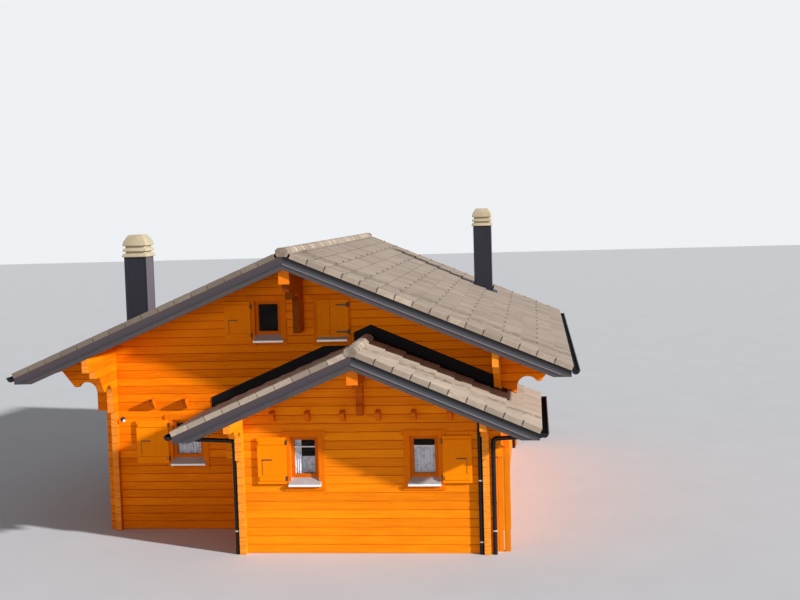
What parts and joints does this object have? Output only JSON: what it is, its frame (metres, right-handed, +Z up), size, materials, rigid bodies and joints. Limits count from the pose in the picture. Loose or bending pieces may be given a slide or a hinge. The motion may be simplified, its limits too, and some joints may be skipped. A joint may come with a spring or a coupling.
{
  "type": "alpine chalet",
  "caption": "Log-built alpine chalet with a wide low-pitched tiled roof, a lower gabled wing in front, roof chimneys, shuttered windows and stepped log-end consoles under the overhangs.",
  "frame": {"origin": "on the ground under the centre of the main body's footprint", "axes": "+X to the right as seen from the front, +Y away from the front, along the ridges, +Z up"},
  "size_m": [10.71, 13.007, 6.24],
  "materials": {
    "timber": "orange-stained profiled logs, matte",
    "pale_timber": "lighter stained boards, matte",
    "roof_tile": "flat concrete tiles, weathered matte",
    "dark_metal": "anthracite sheet metal, satin",
    "concrete": "cast concrete, beige matte",
    "window_glass": "clear panes",
    "sill_metal": "bent sheet, dull",
    "black_iron": "black, satin"
  },
  "bodies": {
    "root": {"ground_floor": "pale_timber", "upper_floor": "pale_timber", "main_joists": "timber", "wing_joists": "timber", "front_wall": "timber", "rear_wall": "timber", "left_wall": "timber", "right_wall": "timber", "wing_front_wall": "timber", "wing_left_wall": "timber", "wing_right_wall": "timber", "main_corner_logs": "timber", "wing_corner_logs": "timber", "main_ridge_beam": "timber", "wing_ridge_beam": "timber", "main_roof_left": "timber", "main_roof_right": "timber", "wing_roof_left": "timber", "wing_roof_right": "timber", "main_tiles_left": "roof_tile", "main_tiles_right": "roof_tile", "wing_tiles_left": "roof_tile", "wing_tiles_right": "roof_tile", "main_ridge_caps": "roof_tile", "wing_ridge_caps": "roof_tile", "main_verge_boards": "dark_metal", "wing_verge_boards": "dark_metal", "verge_trims": "dark_metal", "wall_flashing": "dark_metal", "gutters": "dark_metal", "downpipes": "dark_metal", "left_chimney": "dark_metal", "right_chimney": "dark_metal", "chimney_caps": "concrete", "window_frames": "timber", "ground_floor_glass": "window_glass", "upper_floor_glass": "window_glass", "window_sills": "sill_metal", "window_trims": "pale_timber", "shutters": "timber", "strap_hinges": "black_iron", "rear_door": "timber", "rear_door_frame": "pale_timber", "wall_lamp": "black_iron", "wood_store_panel": "pale_timber"}
  },
  "joints": []
}
